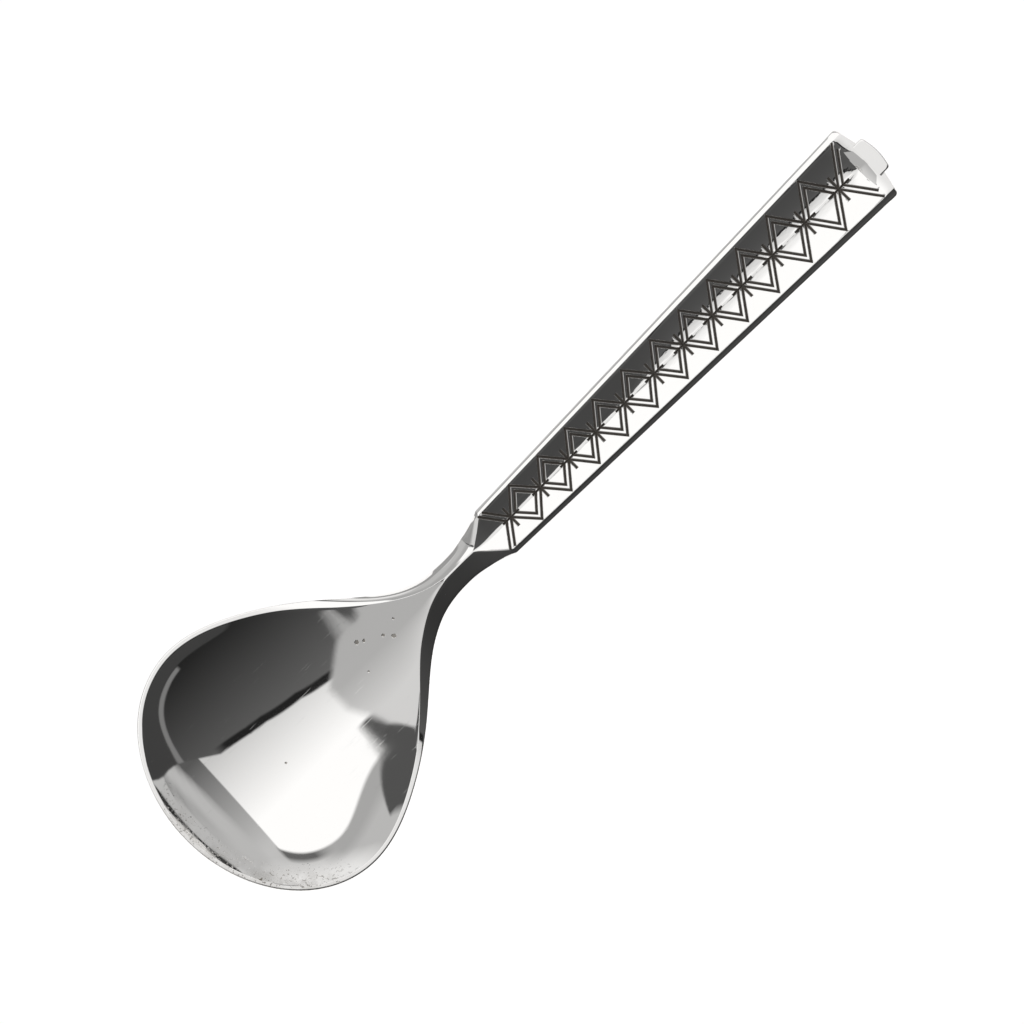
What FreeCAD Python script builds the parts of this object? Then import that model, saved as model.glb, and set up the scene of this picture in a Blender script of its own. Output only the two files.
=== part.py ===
"""Jam spoon, one piece of silver: a broad bowl with a blunt front, a ridged neck, a handle with a
V-shaped trough engraved with a double zigzag and small crosses, and a tab on its end.

Lengths are millimetres. The spoon lies as it rests: the bowl's bottom and the underside of the
tip touch z = 0, the bowl is towards -X, the tip towards +X, and x = 0 is half its length.
Places along the spoon are measured from the bowl's front, and the finished spoon is moved.
"""
import FreeCAD, Part
import math
import os
import Sketcher
from FreeCAD import Placement, Rotation, Vector

# Driving dimensions: alias and value
SIZES = [
    ("total_length", 140.0),
    ("bowl_nose", 17.2),
    ("bowl_half_width", 21.2),
    ("bowl_depth", 8.0),
    ("bowl_wall", 1.15),
    ("bottom_flat", 0.05),
    ("rim_width", 0.75),
    ("rim_edge", 0.9),
    ("neck_place", 54.4),
    ("neck_half_width", 2.48),
    ("neck_rise", 2.9),
    ("neck_thickness", 3.2),
    ("neck_bevel_drop", 1.6),
    ("ridge_offset", 0.4),
    ("arrow_place", 58.3),
    ("shoulder_place", 62.6),
    ("shoulder_half_width", 4.28),
    ("shoulder_rise", 3.5),
    ("shoulder_thickness", 2.6),
    ("shoulder_bevel", 0.87),
    ("tab_reach", 2.3),
    ("end_half_width", 6.6),
    ("end_height", 2.5),
    ("end_bevel", 1.08),
    ("end_peak", 0.8),
    ("end_corner", 0.9),
    ("end_rim", 1.65),
    ("end_wall", 1.5),
    ("flat_foot", 5.0),
    ("handle_bevel_drop", 0.55),
    ("under_chamfer", 0.8),
    ("trough_slope", 0.27),
    ("crease_flat", 0.2),
    ("trough_lead", 2.5),
    ("overrun", 2.0),
    ("tab_overlap", 0.35),
    ("tab_half_width", 2.95),
    ("tab_bulge", 0.3),
    ("tab_rise", 0.35),
    ("tab_thickness", 1.5),
    ("tab_corner", 0.6),
    ("groove_width", 0.48),
    ("groove_depth", 0.22),
    ("groove_spacing", 0.72),
    ("first_star_gap", 3.0),
    ("last_star_gap", 5.8),
    ("first_arm", 1.6),
    ("last_arm", 2.15),
    ("crest_margin", 0.15),
]

doc = FreeCAD.newDocument("JamSpoon")
sheet = doc.addObject("Spreadsheet::Sheet", "Sizes")
for row, (alias, value) in enumerate(SIZES, start=1):
    sheet.set(f"A{row}", alias)
    sheet.set(f"B{row}", str(value))
    sheet.setAlias(f"B{row}", alias)
doc.recompute()


def size(alias):
    return float(sheet.get(alias))


def between(start, end, share):
    return start + (end - start) * share


def graph_curve(points, start_slope, end_slope):
    """A smooth curve y(x) through the points, with its parameter equal to x."""
    curve = Part.BSplineCurve()
    curve.interpolate(
        Points=[Vector(x, y, 0) for x, y in points],
        Parameters=[x for x, _ in points],
        InitialTangent=Vector(1, start_slope, 0),
        FinalTangent=Vector(1, end_slope, 0),
        Scale=False,
    )
    return curve


# Outline seen from above: half widths as smooth curves of the place along the spoon
nose = size("bowl_nose")
neck = size("neck_place")
arrow = size("arrow_place")
shoulder = size("shoulder_place")
tip = size("total_length")
handle_end = tip - size("tab_reach")
HANDLE_END = "Sizes.total_length - Sizes.tab_reach"
bowl_half = size("bowl_half_width")
neck_half = size("neck_half_width")
shoulder_half = size("shoulder_half_width")
end_half = size("end_half_width")
rim_width = size("rim_width")

# How the bowl narrows to the neck: share of the way there, share of the width still to lose
TAPER = [(0.306, 0.806), (0.505, 0.539), (0.694, 0.217), (0.846, 0.046)]
# How the neck widens to the shoulder: share of the way, share of the width gained
FLARE = [(0.35, 0.1), (0.7, 0.49)]
FLARE_SLOPE = 0.37
# How the rim's inner edges close in: share of the way to the neck, share of the bowl's half width
INNER_TAPER = [(0.306, 0.785), (0.425, 0.645), (0.577, 0.404), (0.663, 0.265), (0.759, 0.139),
               (0.831, 0.069), (0.93, 0.014)]

back_points = [(nose, bowl_half)]
back_points += [(between(nose, neck, a), between(neck_half, bowl_half, b)) for a, b in TAPER]
back_points += [(neck, neck_half)]
neck_points = [(neck, neck_half)]
neck_points += [(between(neck, shoulder, a), between(neck_half, shoulder_half, b)) for a, b in FLARE]
neck_points += [(shoulder, shoulder_half)]
back_curve = graph_curve(back_points, 0, 0)
neck_curve = graph_curve(neck_points, 0, FLARE_SLOPE)


def half_width(x):
    """Half the outline's width at a place along the spoon."""
    if x < nose:
        return bowl_half * math.sqrt(max(0.0, 1 - ((nose - x) / nose) ** 2))
    if x < neck:
        return back_curve.value(x).y
    if x < shoulder:
        return neck_curve.value(x).y
    return between(shoulder_half, end_half, (x - shoulder) / (handle_end - shoulder))


# Side view: heights of the crest, the hollow's bottom, the trough's crease and the underside
hollow_half = bowl_half - rim_width
depth = size("bowl_depth")
hollow_radius = (hollow_half ** 2 + depth ** 2) / (2 * depth)
under_radius = hollow_radius + size("bowl_wall")
rim_height = depth + size("bowl_wall") - size("bottom_flat")
neck_height = rim_height + size("neck_rise")
shoulder_height = rim_height + size("shoulder_rise")
end_height = size("end_height")
handle_length = handle_end - shoulder
handle_fall = (end_height - shoulder_height) / handle_length
trough_slope = size("trough_slope")

# How the rim rises from the bowl's widest place to the neck: share of the way, share of the rise
RIM_RISE = [(0.344, 0.03), (0.559, 0.19), (0.747, 0.56), (0.831, 0.76), (0.93, 0.93)]
RIM_START_SLOPE = -0.03
RIM_END_SLOPE = 0.06
BEFORE_FRONT = -5.0
FRONT_RISE = 0.2
START_RISE = 0.35
rim_points = [(BEFORE_FRONT, rim_height + START_RISE), (0.0, rim_height + FRONT_RISE)]
rim_points += [(nose, rim_height)]
rim_points += [(between(nose, neck, a), between(rim_height, neck_height, b)) for a, b in RIM_RISE]
rim_points += [(neck, neck_height)]
rim_curve = graph_curve(rim_points, RIM_START_SLOPE, RIM_END_SLOPE)


def bevel_width(x):
    """Width of the sloping band outside the handle's crest."""
    return between(size("shoulder_bevel"), size("end_bevel"), (x - shoulder) / handle_length)


shoulder_crest = shoulder_half - bevel_width(shoulder)
end_crest = end_half - bevel_width(handle_end)
shoulder_crease = shoulder_height - trough_slope * shoulder_crest
end_crease = end_height - trough_slope * end_crest
crease_fall = (end_crease - shoulder_crease) / handle_length


def crease_height(x):
    """Height of the bottom line of the handle's trough."""
    return shoulder_crease + crease_fall * (x - shoulder)


inner_points = [(nose, hollow_half)]
inner_points += [(between(nose, neck, a), bowl_half * b) for a, b in INNER_TAPER]
inner_points += [(neck, 0.0)]
inner_curve = graph_curve(inner_points, 0, 0)


def crest_half(x):
    """Half the distance between the two crest lines: the rim's inner edges, then the trough's."""
    if x < nose:
        return hollow_half * math.sqrt(max(0.0, 1 - ((nose - x) / (nose - rim_width)) ** 2))
    if x < neck:
        return max(0.0, inner_curve.value(x).y)
    if x < shoulder:
        return shoulder_crest * max(0.0, (x - arrow) / (shoulder - arrow))
    return half_width(x) - bevel_width(x)


def crest_height(x):
    """Height of the rim, the ridge of the neck and the handle's crests."""
    if x < neck:
        return rim_curve.value(x).y
    if x < arrow:
        return between(neck_height, crease_height(arrow), (x - neck) / (arrow - neck))
    return crease_height(x) + trough_slope * crest_half(x)


def hollow_height(x):
    """Height of the hollow's lowest line: an arc moved along it cuts the rim's inner edge."""
    if x < nose:
        half_squared = hollow_half ** 2 * (1 - ((nose - x) / (nose - rim_width)) ** 2)
    else:
        half_squared = crest_half(x) ** 2
    return crest_height(x) + math.sqrt(hollow_radius ** 2 - half_squared) - hollow_radius


def bowl_under_height(x):
    """Height of the bowl's lowest line: a larger arc moved along it leaves the rim's edge."""
    if x < nose:
        half_squared = bowl_half ** 2 * (1 - ((nose - x) / nose) ** 2)
    else:
        half_squared = half_width(x) ** 2
    drop = under_radius - math.sqrt(under_radius ** 2 - half_squared)
    return crest_height(x) - size("rim_edge") - drop


# The body and the ways its sketches and cuts are made
body = doc.addObject("PartDesign::Body", "SpoonBody")
doc.recompute()


def new_sketch(name, role, offset):
    """A sketch parallel to one of the body's origin planes, offset along its normal."""
    sketch = body.newObject("Sketcher::SketchObject", name)
    plane = next(f for f in body.Origin.OriginFeatures if f.Role == role)
    sketch.AttachmentSupport = (plane, "")
    sketch.MapMode = "FlatFace"
    if isinstance(offset, str):
        sketch.setExpression("AttachmentOffset.Base.z", offset)
    else:
        sketch.AttachmentOffset = Placement(Vector(0, 0, offset), Rotation())
    return sketch


def close_loop(sketch):
    """Joins each piece of an outline to the next one."""
    count = sketch.GeometryCount
    for i in range(count):
        sketch.addConstraint(Sketcher.Constraint("Coincident", i, 2, (i + 1) % count, 1))


def add_loop(sketch, pieces):
    """Adds an outline's pieces, each starting where the one before ends, and joins them."""
    for piece in pieces:
        sketch.addGeometry(piece)
    close_loop(sketch)


def segment(start, finish):
    return Part.LineSegment(Vector(*start, 0), Vector(*finish, 0))


def through(start, middle_point, finish):
    return Part.Arc(start, middle_point, finish)


def polygon(sketch, corners):
    """A closed outline whose corners are numbers or expressions of the sheet's sizes."""
    places = []
    for corner in corners:
        places.append([sketch.evalExpression(c) if isinstance(c, str) else c for c in corner])
    add_loop(sketch, [segment(a, b) for a, b in zip(places, places[1:] + places[:1])])
    for i, corner in enumerate(corners):
        for kind, value, written in zip(("DistanceX", "DistanceY"), places[i], corner):
            number = sketch.addConstraint(Sketcher.Constraint(kind, i, 1, value))
            if isinstance(written, str):
                sketch.setExpression(f"Constraints[{number}]", written)


def section(name, place, corners):
    """A closed cross-section at a place along the spoon, corners as (y, z)."""
    sketch = new_sketch(name, "YZ_Plane", place)
    polygon(sketch, corners)
    return sketch


def round_corner(before, at, after, radius):
    """Start, middle and end of the arc that rounds the corner of two straight runs."""
    before, at, after = (Vector(*p, 0) for p in (before, at, after))
    back = (before - at).normalize()
    ahead = (after - at).normalize()
    inward = (back + ahead).normalize()
    half_angle = back.getAngle(ahead) / 2
    reach = radius / math.tan(half_angle)
    centre = at + inward * (radius / math.sin(half_angle))
    return at + back * reach, centre - inward * radius, at + ahead * reach


def mirrored(points):
    return [(x, -y) for x, y in points]


def mirrored_arc(arc):
    return [Vector(p.x, -p.y, 0) for p in reversed(arc)]


def reversed_curve(curve):
    turned = curve.copy()
    turned.reverse()
    return turned


def sweep_cut(name, profile, spine, edge_count):
    """Cuts with the profile carried along the spine, always parallel to its first place."""
    pipe = body.newObject("PartDesign::SubtractivePipe", name)
    pipe.Profile = profile
    pipe.Spine = (spine, [f"Edge{i + 1}" for i in range(edge_count)])
    pipe.Mode = "Fixed"
    doc.recompute()


def loft_cut(name, sections, ruled):
    """Cuts away what lies inside a loft through the sections."""
    loft = body.newObject("PartDesign::SubtractiveLoft", name)
    loft.Profile = sections[0]
    loft.Sections = [(item, "") for item in sections[1:]]
    loft.Ruled = ruled
    doc.recompute()


# Outline pad: an elliptic front, curves to the neck and the shoulder, a tapering handle
peak = handle_end + size("end_peak")
tab_half = size("tab_half_width")
plan = new_sketch("PlanOutline", "XY_Plane", 0.0)
front_ellipse = Part.Ellipse(Vector(nose, bowl_half, 0), Vector(0, 0, 0), Vector(nose, 0, 0))
end_arc = round_corner((shoulder, -shoulder_half), (handle_end, -end_half), (peak, -tab_half),
                       size("end_corner"))
far_arc = mirrored_arc(end_arc)
add_loop(plan, [
    Part.ArcOfEllipse(front_ellipse, 0, math.pi),
    graph_curve(mirrored(back_points), 0, 0),
    graph_curve(mirrored(neck_points), 0, -FLARE_SLOPE),
    segment((shoulder, -shoulder_half), end_arc[0][:2]),
    through(*end_arc),
    segment(end_arc[2][:2], (peak, -tab_half)),
    segment((peak, -tab_half), (peak, tab_half)),
    segment((peak, tab_half), far_arc[0][:2]),
    through(*far_arc),
    segment(far_arc[2][:2], (shoulder, shoulder_half)),
    reversed_curve(neck_curve),
    reversed_curve(back_curve),
])
block = body.newObject("PartDesign::Pad", "Block")
block.Profile = plan
block.setExpression(
    "Length", "Sizes.bowl_depth + Sizes.bowl_wall + Sizes.shoulder_rise + Sizes.overrun")

# Top pocket: the flat of the bowl's rim, then a line that stays clear above the bevels
TOP_CLEARANCE = [(0.29, 0.0), (0.42, 0.4), (0.61, 0.6), (0.82, 0.6), (0.94, 0.3)]
HANDLE_CLEARANCE = 0.03
CEILING_ROOM = 10.0
PAST_TIP = 3.0
ceiling = shoulder_height + CEILING_ROOM
beyond = tip + PAST_TIP
top_points = [(x, crest_height(x)) for x in (BEFORE_FRONT, 0.0, nose)]
for share, gap in TOP_CLEARANCE:
    place = between(nose, shoulder, share)
    top_points.append((place, crest_height(place) + gap))
shoulder_top = (shoulder, shoulder_height + HANDLE_CLEARANCE)
handle_top = (beyond, shoulder_top[1] + handle_fall * (beyond - shoulder))
top_points.append(shoulder_top)
top = new_sketch("TopLine", "XZ_Plane", 0.0)
add_loop(top, [
    graph_curve(top_points, RIM_START_SLOPE, handle_fall),
    segment(shoulder_top, handle_top),
    segment(handle_top, (beyond, ceiling)),
    segment((beyond, ceiling), (BEFORE_FRONT, ceiling)),
    segment((BEFORE_FRONT, ceiling), top_points[0]),
])
top_pocket = body.newObject("PartDesign::Pocket", "TopPocket")
top_pocket.Profile = top
top_pocket.SideType = "Symmetric"
top_pocket.setExpression("Length", "4 * Sizes.bowl_half_width")
doc.recompute()

# Hollow and underside: upright arcs moved along the spoon's two lowest lines
SPINE_START = -4.0
FRONT_STEPS = [SPINE_START, 0.0, 0.23 * nose, 0.46 * nose, 0.73 * nose, nose]
HOLLOW_STEPS = [0.15, 0.3, 0.43, 0.56, 0.67, 0.78, 0.86, 0.92]
HOLLOW_EXIT = [(0.93, 0.03), (1.0, 0.4), (1.1, 1.4)]
UNDER_STEPS = [0.15, 0.3, 0.43]
UNDER_WEB = [(0.577, 1.65), (0.76, 2.4)]
FRONT_FALL = -1.2
HOLLOW_EXIT_SLOPE = 0.25
ARC_REACH = math.radians(62)
# Where the two profiles are closed, from the arc's bottom
HOLLOW_CLOSING = 40.0
UNDER_CLOSING = -30.0


def arc_profile(name, bottom, radius, closing_height):
    """An arc across the spoon's front, closed by straight sides at a height from its bottom."""
    circle = Part.Circle(Vector(0, bottom + radius, 0), Vector(0, 0, 1), radius)
    arc = Part.ArcOfCircle(circle, 1.5 * math.pi - ARC_REACH, 1.5 * math.pi + ARC_REACH)
    left, right = arc.StartPoint, arc.EndPoint
    level = bottom + closing_height
    sketch = new_sketch(name, "YZ_Plane", SPINE_START)
    add_loop(sketch, [
        arc,
        segment((right.x, right.y), (right.x, level)),
        segment((right.x, level), (left.x, level)),
        segment((left.x, level), (left.x, left.y)),
    ])
    return sketch


hollow_points = [(x, hollow_height(x)) for x in FRONT_STEPS]
for share in HOLLOW_STEPS:
    place = between(nose, neck, share)
    hollow_points.append((place, hollow_height(place)))
for share, lift in HOLLOW_EXIT:
    place = between(nose, neck, share)
    hollow_points.append((place, crest_height(place) + lift))
hollow_spine = new_sketch("HollowSpine", "XZ_Plane", 0.0)
hollow_spine.addGeometry(graph_curve(hollow_points, FRONT_FALL, HOLLOW_EXIT_SLOPE))
hollow_profile = arc_profile("HollowProfile", hollow_points[0][1], hollow_radius, HOLLOW_CLOSING)
doc.recompute()
sweep_cut("Hollow", hollow_profile, hollow_spine, 1)

shoulder_under = shoulder_height - size("shoulder_thickness")
under_fall = -shoulder_under / (handle_end - size("flat_foot") - shoulder)
under_points = [(x, bowl_under_height(x)) for x in FRONT_STEPS]
for share in UNDER_STEPS:
    place = between(nose, neck, share)
    under_points.append((place, bowl_under_height(place)))
for share, web in UNDER_WEB:
    place = between(nose, neck, share)
    under_points.append((place, hollow_height(place) - web))
under_points += [(neck, neck_height - size("neck_thickness")), (shoulder, shoulder_under)]
under_curve = graph_curve(under_points, FRONT_FALL, under_fall)
under_spine = new_sketch("UnderSpine", "XZ_Plane", 0.0)
under_spine.addGeometry(under_curve)
under_spine.addGeometry(
    segment((shoulder, shoulder_under), (beyond, shoulder_under + under_fall * (beyond - shoulder))))
under_spine.addConstraint(Sketcher.Constraint("Coincident", 0, 2, 1, 1))
under_profile = arc_profile("UnderProfile", under_points[0][1], under_radius, UNDER_CLOSING)
doc.recompute()
sweep_cut("Underside", under_profile, under_spine, 2)


def under_edge_height(x):
    """Height at which the underside would meet the outline's wall."""
    if x > shoulder:
        low = shoulder_under + under_fall * (x - shoulder)
    else:
        low = under_curve.value(x).y
    return max(0.0, low + under_radius - math.sqrt(under_radius ** 2 - half_width(x) ** 2))


# How far the edge cutters reach past the lines they leave
REACH_INWARD = 0.5
CUTTER_HEIGHT = 4.0
overrun = size("overrun")


def sloped_corners(inner, outer, side, up):
    """Corners of a four-sided cutter, one side of it on the line from inner to outer."""
    run = Vector(outer[0] - inner[0], outer[1] - inner[1], 0).normalize()
    start = (inner[0] - run.x * REACH_INWARD, inner[1] - run.y * REACH_INWARD)
    finish = (outer[0] + run.x * overrun, outer[1] + run.y * overrun)
    level = finish[1] + up * CUTTER_HEIGHT
    return [(side * start[0], start[1]), (side * finish[0], finish[1]),
            (side * finish[0], level), (side * start[0], level)]


# Bevels outside the crests: share of the way to the shoulder, lift above the rim, share of the
# neck's drop, share of the ridge's sideways offset
NECK_BEVELS = [(0.24, 0.3, 0.0, 0.0), (0.31, 0.1, 0.03, 0.0), (0.37, 0.0, 0.14, 0.0),
               (0.47, 0.0, 0.4, 0.1), (0.57, 0.0, 0.66, 0.9), (0.68, 0.0, 0.9, 1.0),
               (0.757, 0.0, 0.98, 1.0), (0.82, 0.0, 1.0, 1.0), (0.87, 0.0, 0.95, 1.0),
               (0.91, 0.0, 0.85, 0.8), (0.955, 0.0, 0.58, 0.3)]
# Chamfers under the edges: share of the way to the shoulder, share of the chamfer's size
NECK_CHAMFERS = [(0.33, -0.4), (0.43, 0.3), (0.52, 0.75), (0.62, 1.0), (0.82, 1.2), (0.91, 1.1)]
CHAMFER_RATIO = 0.9
neck_drop = size("neck_bevel_drop")
handle_drop = size("handle_bevel_drop")
chamfer = size("under_chamfer")
handle_places = [("Shoulder", shoulder, "Sizes.shoulder_place"),
                 ("End", handle_end + overrun, HANDLE_END + " + Sizes.overrun")]


def bevel_corners(x, lift, drop, shift, side):
    height = crest_height(x) + lift
    inner = (crest_half(x) + side * shift, height)
    return sloped_corners(inner, (half_width(x), height - drop), side, 1)


def chamfer_corners(x, reach, side):
    edge_y = half_width(x)
    low = under_edge_height(x)
    return sloped_corners((edge_y - reach, low), (edge_y, low + reach * CHAMFER_RATIO), side, -1)


for side, side_name in ((1, "Left"), (-1, "Right")):
    bevels = []
    for number, (share, lift, drop, shift) in enumerate(NECK_BEVELS, start=1):
        place = between(nose, shoulder, share)
        corners = bevel_corners(place, lift, drop * neck_drop, shift * size("ridge_offset"), side)
        bevels.append(section(f"{side_name}NeckBevel{number}", place, corners))
    for name, place, written in handle_places:
        corners = bevel_corners(place, 0.0, handle_drop, 0.0, side)
        bevels.append(section(f"{side_name}{name}Bevel", written, corners))
    loft_cut(f"{side_name}NeckBevel", bevels[:-1], False)
    loft_cut(f"{side_name}HandleBevel", bevels[-2:], True)
    chamfers = []
    for number, (share, cut) in enumerate(NECK_CHAMFERS, start=1):
        place = between(nose, shoulder, share)
        corners = chamfer_corners(place, cut * chamfer, side)
        chamfers.append(section(f"{side_name}NeckChamfer{number}", place, corners))
    for name, place, written in handle_places:
        corners = chamfer_corners(place, chamfer, side)
        chamfers.append(section(f"{side_name}{name}Chamfer", written, corners))
    loft_cut(f"{side_name}NeckChamfer", chamfers[:-1], False)
    loft_cut(f"{side_name}HandleChamfer", chamfers[-2:], True)

# V-shaped trough with a sloping wall at its end
flat_half = size("crease_flat") / 2
trough_reach = end_half + overrun
trough_front = arrow - size("trough_lead")
trough_end = handle_end - size("end_rim")
wall_top = trough_end + size("end_wall")


def trough_section(name, place, low, bottom):
    """A section of the trough's cutter; bottom is half its flat's width, as an expression."""
    high = low + trough_slope * (trough_reach - sheet.evalExpression(bottom))
    corners = [("-" + bottom, low), (bottom, low),
               ("Sizes.end_half_width + Sizes.overrun", high),
               ("-Sizes.end_half_width - Sizes.overrun", high)]
    return section(name, place, corners)


loft_cut("Trough", [
    trough_section("TroughFront", "Sizes.arrow_place - Sizes.trough_lead",
                   crease_height(trough_front), "Sizes.crease_flat / 2"),
    trough_section("TroughEnd", HANDLE_END + " - Sizes.end_rim", crease_height(trough_end),
                   "Sizes.crease_flat / 2"),
    trough_section("WallTop", HANDLE_END + " - Sizes.end_rim + Sizes.end_wall",
                   crest_height(wall_top) + 2 * HANDLE_CLEARANCE, "Sizes.tab_half_width"),
], True)

# Tab on the end, standing a little above the rim
tab_back = handle_end - size("tab_overlap")
tab_face = tip - size("tab_bulge")
tab_arc = round_corner((tab_back, -tab_half), (tab_face, -tab_half), (tab_face, 0),
                       size("tab_corner"))
far_tab_arc = mirrored_arc(tab_arc)
tab_outline = new_sketch("TabOutline", "XY_Plane",
                         "Sizes.end_height + Sizes.tab_rise - Sizes.tab_thickness")
add_loop(tab_outline, [
    segment((tab_back, -tab_half), tab_arc[0][:2]),
    through(*tab_arc),
    through(tab_arc[2], Vector(tip, 0, 0), far_tab_arc[0]),
    through(*far_tab_arc),
    segment(far_tab_arc[2][:2], (tab_back, tab_half)),
    segment((tab_back, tab_half), (tab_back, -tab_half)),
])
tab = body.newObject("PartDesign::Pad", "Tab")
tab.Profile = tab_outline
tab.setExpression("Length", "Sizes.tab_thickness")
doc.recompute()

# Engraving: V-shaped cuts along the trough's sides, a double zigzag with a cross at each meeting
# Spacing of the crosses, a little uneven as cut by hand
STAR_STEPS = [5.95, 5.7, 5.5, 5.8, 6.0, 5.9, 5.9, 6.0, 6.2, 6.6, 6.85]
# The zigzag's points reach this share of the way to the crest, and more towards both ends
APEX_SHARE = 0.86
APEX_SHARE_GAIN = 0.08
CUTTER_HEAD = 0.35
CUTTER_OVERRUN = 0.12
# Where the lines to the trough's corners stop, from the shoulder and from the trough's end
FRONT_LINE_LEAD = 0.55
FRONT_LINE_LIMIT = 1.0
END_LINE_GAP = 0.1
spacing = size("groove_spacing")
groove_depth = size("groove_depth")
groove_top = size("groove_width") / 2 * (groove_depth + CUTTER_HEAD) / groove_depth
stars = [shoulder + size("first_star_gap")]
step_scale = (handle_end - size("last_star_gap") - stars[0]) / sum(STAR_STEPS)
for step in STAR_STEPS:
    stars.append(stars[-1] + step * step_scale)


def on_flank(x, y, side):
    """A point on one side of the trough, y from its middle line."""
    return Vector(x, side * y, crease_height(x) + trough_slope * (y - flat_half))


def flank_normal(side):
    return Vector(-crease_fall, -side * trough_slope, 1).normalize()


def edge_points(place, aside, up):
    """The lowest and the two highest edges of a groove's cutter where its line passes a point."""
    head = place + up * CUTTER_HEAD
    return [place - up * groove_depth, head + aside * groove_top, head - aside * groove_top]


def square_section(place, beyond_place, up):
    """The end of a cutter's bar, a little past its line's last point."""
    run = (beyond_place - place).normalize()
    return edge_points(beyond_place + run * CUTTER_OVERRUN, run.cross(up).normalize(), up)


def apex_section(before, apex, after, up):
    """Where two bars on one side of the trough meet, cut through both edges' meeting points."""
    aside_before = (apex - before).cross(up).normalize()
    aside_after = (after - apex).cross(up).normalize()
    middle_aside = (aside_before + aside_after) / (1 + aside_before.dot(aside_after))
    return edge_points(apex, middle_aside, up)


def crease_section(foot, toward, up):
    """Where a bar meets its mirror image on the other side of the trough."""
    run = (toward - foot).normalize()
    edges = edge_points(foot, run.cross(up).normalize(), up)
    return [point - run * (point.y / run.y) for point in edges]


def flipped(points):
    """The same section with its bar followed the other way."""
    return [points[0], points[2], points[1]]


def bar_chain(sections, is_ring):
    """Three-sided bars from each section to the next, closed into a ring or with two ends."""
    following = sections[1:] + sections[:1] if is_ring else sections[1:]
    outlines = []
    for first, last in zip(sections, following):
        for a, b in ((0, 1), (1, 2), (2, 0)):
            outlines.append([first[a], first[b], last[b], last[a]])
    if not is_ring:
        outlines += [sections[0], sections[-1]]
    faces = [Part.Face(Part.makePolygon(corners + corners[:1])) for corners in outlines]
    solid = Part.Solid(Part.makeShell(faces))
    if solid.Volume < 0:
        solid.reverse()
    return solid


def lozenge(centre, run, height):
    """A ring of four bars, its corners on the crease and on both sides of the trough."""
    apexes = [on_flank(centre, height, side) for side in (1, -1)]
    sections = []
    for step, side, apex in zip((-1, 1), (1, -1), apexes):
        foot = on_flank(centre + step * run, 0, side)
        other_foot = on_flank(centre - step * run, 0, side)
        sections.append(crease_section(foot, apex, flank_normal(side)))
        sections.append(apex_section(foot, apex, other_foot, flank_normal(side)))
    return bar_chain(sections, True)


def wedge(foot_x, end_x, end_y):
    """Two bars from the crease up both sides of the trough, square at their ends."""
    foot, end_point = on_flank(foot_x, 0, 1), on_flank(end_x, end_y, 1)
    far_foot, far_end = on_flank(foot_x, 0, -1), on_flank(end_x, end_y, -1)
    near_up, far_up = flank_normal(1), flank_normal(-1)
    return bar_chain([
        flipped(square_section(far_foot, far_end, far_up)),
        crease_section(foot, end_point, near_up),
        square_section(foot, end_point, near_up),
    ], False)


def end_wedges(star, end_x, limit_x):
    """The two lines that run from the first or last cross to the corners of the trough."""
    height = crest_half(end_x) - size("crest_margin")
    run = end_x - star
    inset = math.copysign(spacing * math.hypot(run, height) / height, run)
    share = min(1.0, (limit_x - star - inset) / run)
    return [wedge(star, end_x, height), wedge(star + inset, star + inset + run * share, height * share)]


def cross(star, arm):
    """A small cross: a bar along the crease and one across it, up both sides."""
    back, front = on_flank(star - arm, 0, 1), on_flank(star + arm, 0, 1)
    upright = Vector(-crease_fall, 0, 1).normalize()
    along = [flipped(square_section(front, back, upright)), square_section(back, front, upright)]
    return [bar_chain(along, False), wedge(star, star, arm)]


cutters = []
for left, right in zip(stars, stars[1:]):
    centre = (left + right) / 2
    run = (right - left) / 2
    share = (centre - stars[0]) / (stars[-1] - stars[0])
    height = crest_half(centre) * (APEX_SHARE + APEX_SHARE_GAIN * (2 * share - 1) ** 2)
    inner_run = run - spacing * math.hypot(run, height) / height
    cutters += [lozenge(centre, run, height), lozenge(centre, inner_run, height * inner_run / run)]
for number, star in enumerate(stars):
    arm = between(size("first_arm"), size("last_arm"), number / (len(stars) - 1))
    cutters += cross(star, arm)
cutters += end_wedges(stars[0], shoulder + FRONT_LINE_LEAD, shoulder - FRONT_LINE_LIMIT)
cutters += end_wedges(stars[-1], trough_end - END_LINE_GAP, trough_end - END_LINE_GAP)
engraving = doc.addObject("Part::Feature", "Engraving")
engraving.Shape = cutters[0].multiFuse(cutters[1:])
spoon = doc.addObject("Part::Cut", "EngravedSpoon")
spoon.Label = "jam_spoon"
spoon.Base = body
spoon.Tool = engraving
spoon.setExpression("Placement.Base.x", "-Sizes.total_length / 2")
doc.recompute()

# Every object has to be sound before the spoon is written
for item in doc.Objects:
    if "Invalid" in item.State or "Error" in item.State:
        raise RuntimeError(f"{item.Label} failed: {item.State}")
for item in (body, engraving, spoon):
    if item.Shape.isNull() or not item.Shape.isValid():
        raise RuntimeError(f"{item.Label} has no sound shape")
if len(spoon.Shape.Solids) != 1:
    raise RuntimeError("the spoon is not one solid")
os.makedirs("parts", exist_ok=True)
spoon.Shape.exportStep(f"parts/{spoon.Label}.step")
print(f"{spoon.Label}: {spoon.Shape.Volume:.1f} mm3, {len(spoon.Shape.Faces)} faces")
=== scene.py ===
"""A silver jam spoon on a pale floor, seen from straight above in soft studio light.

The spoon's surface is drawn as ribs that run from its middle line out over the edge and back
underneath, in millimetres from the bowl's front, and is then moved into the CAD's place in metres.
"""

import math

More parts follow.
